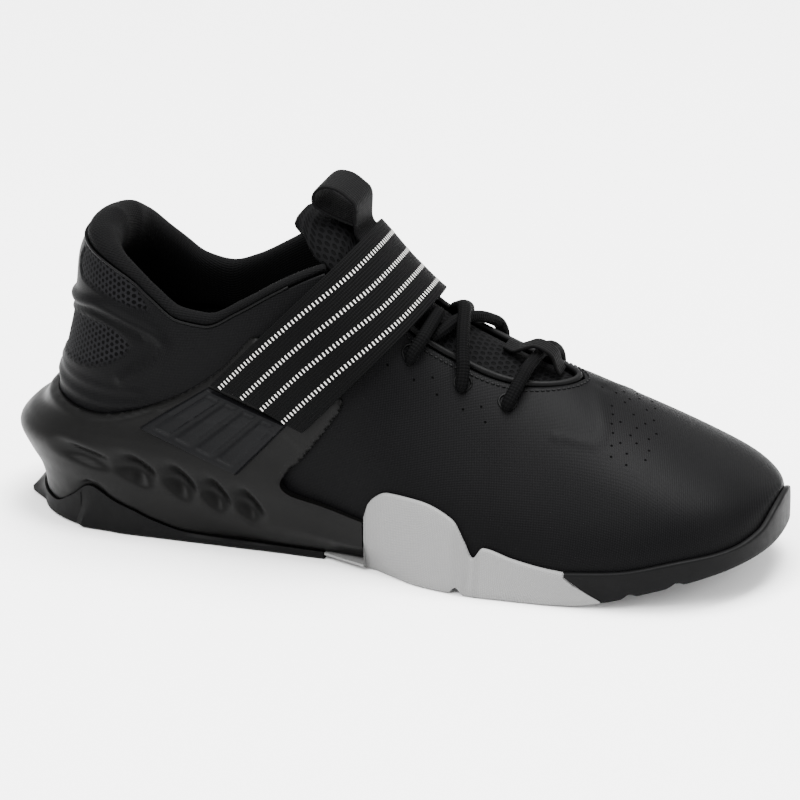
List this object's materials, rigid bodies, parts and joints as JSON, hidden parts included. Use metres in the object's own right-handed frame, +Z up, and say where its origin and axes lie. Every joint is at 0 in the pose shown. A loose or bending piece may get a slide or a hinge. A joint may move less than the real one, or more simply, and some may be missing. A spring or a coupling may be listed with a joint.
{
  "type": "weightlifting shoe",
  "caption": "Right weightlifting shoe, black, with a raised heel in a moulded clip, an elastic instep strap, laces, a pull loop and a grey forefoot rubber wrap.",
  "frame": {"origin": "on the floor under the middle of the heel, on the sole's flat underside", "axes": "+X points to the toe, -Y is the outer (lateral) side of this right shoe, +Z is up"},
  "size_m": [0.2991, 0.1096, 0.1368],
  "materials": {
    "upper_textile": "fine coated textile with a soft sheen",
    "clip_plastic": "satin moulded",
    "black_rubber": "matte",
    "grey_rubber": "matte, finely dotted",
    "insole_textile": "brushed",
    "collar_knit": "padded knit",
    "tongue_mesh": "open mesh",
    "binding_tape": "woven edge tape",
    "lace_cord": "braided",
    "strap_elastic": "woven elastic with rows of pale stitches",
    "tab_plastic": "ribbed",
    "loop_webbing": "woven webbing"
  },
  "bodies": {
    "root": {"upper": "upper_textile", "midsole": "clip_plastic", "outsole_heel": "black_rubber", "outsole_forefoot": "grey_rubber", "outsole_toe": "black_rubber", "insole": "insole_textile", "collar_lining": "collar_knit", "tongue": "tongue_mesh", "throat_binding": "binding_tape", "lace_front_bar": "lace_cord", "lace_top_outer": "lace_cord", "lace_top_inner": "lace_cord", "lace_crossing": "lace_cord", "strap": "strap_elastic", "strap_tab_outer": "tab_plastic", "strap_tab_inner": "tab_plastic", "pull_loop": "loop_webbing", "lace_keeper": "loop_webbing"}
  },
  "joints": []
}
